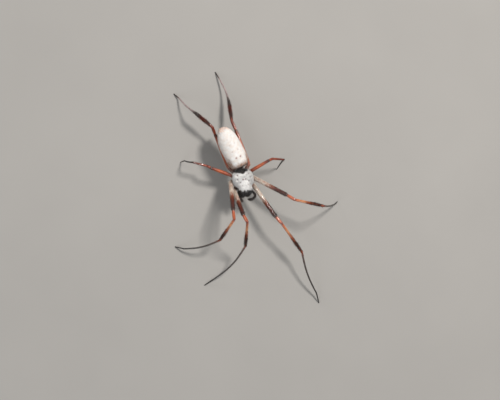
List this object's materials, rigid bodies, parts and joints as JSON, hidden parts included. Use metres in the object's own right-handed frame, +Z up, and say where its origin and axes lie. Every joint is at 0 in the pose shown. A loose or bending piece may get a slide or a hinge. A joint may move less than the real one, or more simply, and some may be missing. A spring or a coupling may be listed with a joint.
{
  "type": "golden silk orb weaver spider, life-size still model",
  "caption": "Still life-size model of an adult female golden silk orb weaver: silver-haired body, long bristled legs spread wide, standing on its leg tips",
  "frame": {"origin": "middle of the footprint, on the floor under the body", "axes": "+Z is up from the floor, the head points to -Y, the animal's own left side is +X"},
  "size_m": [0.0735, 0.1068, 0.0236],
  "materials": {
    "carapace_hair": "dense flat silver-white hair",
    "abdomen_hair": "silver-white hair with brown mottling on the flanks",
    "black_shell": "glossy black shell with sparse hair",
    "eye_gloss": "wet black",
    "sternum_shell": "dark brown, satin",
    "waist_skin": "dark brown skin",
    "spinneret_shell": "brown, satin",
    "coxa_shell": "brown with pale hair",
    "femur_shell": "glossy orange-brown, pale hair at the base",
    "patella_shell": "glossy orange-red",
    "tibia_brush": "orange-brown with a brush of dark hair",
    "foot_shell": "dark grey-brown with fine hair"
  },
  "bodies": {
    "root": {"cephalothorax": "carapace_hair", "sternum": "sternum_shell", "pedicel": "waist_skin", "abdomen": "abdomen_hair", "spinnerets": "spinneret_shell", "chelicera_left": "black_shell", "fang_left": "black_shell", "palp_left": "black_shell", "eye_front_median_left": "eye_gloss", "eye_rear_median_left": "eye_gloss", "eye_front_side_left": "eye_gloss", "eye_rear_side_left": "eye_gloss", "chelicera_right": "black_shell", "fang_right": "black_shell", "palp_right": "black_shell", "eye_front_median_right": "eye_gloss", "eye_rear_median_right": "eye_gloss", "eye_front_side_right": "eye_gloss", "eye_rear_side_right": "eye_gloss", "leg1_left_coxa": "coxa_shell", "leg1_left_femur": "femur_shell", "leg1_left_patella": "patella_shell", "leg1_left_tibia": "tibia_brush", "leg1_left_foot": "foot_shell", "leg2_left_coxa": "coxa_shell", "leg2_left_femur": "femur_shell", "leg2_left_patella": "patella_shell", "leg2_left_tibia": "tibia_brush", "leg2_left_foot": "foot_shell", "leg3_left_coxa": "coxa_shell", "leg3_left_femur": "femur_shell", "leg3_left_patella": "patella_shell", "leg3_left_tibia": "femur_shell", "leg3_left_foot": "foot_shell", "leg4_left_coxa": "coxa_shell", "leg4_left_femur": "femur_shell", "leg4_left_patella": "patella_shell", "leg4_left_tibia": "tibia_brush", "leg4_left_foot": "foot_shell", "leg1_right_coxa": "coxa_shell", "leg1_right_femur": "femur_shell", "leg1_right_patella": "patella_shell", "leg1_right_tibia": "tibia_brush", "leg1_right_foot": "foot_shell", "leg2_right_coxa": "coxa_shell", "leg2_right_femur": "femur_shell", "leg2_right_patella": "patella_shell", "leg2_right_tibia": "tibia_brush", "leg2_right_foot": "foot_shell", "leg3_right_coxa": "coxa_shell", "leg3_right_femur": "femur_shell", "leg3_right_patella": "patella_shell", "leg3_right_tibia": "femur_shell", "leg3_right_foot": "foot_shell", "leg4_right_coxa": "coxa_shell", "leg4_right_femur": "femur_shell", "leg4_right_patella": "patella_shell", "leg4_right_tibia": "tibia_brush", "leg4_right_foot": "foot_shell"}
  },
  "joints": []
}
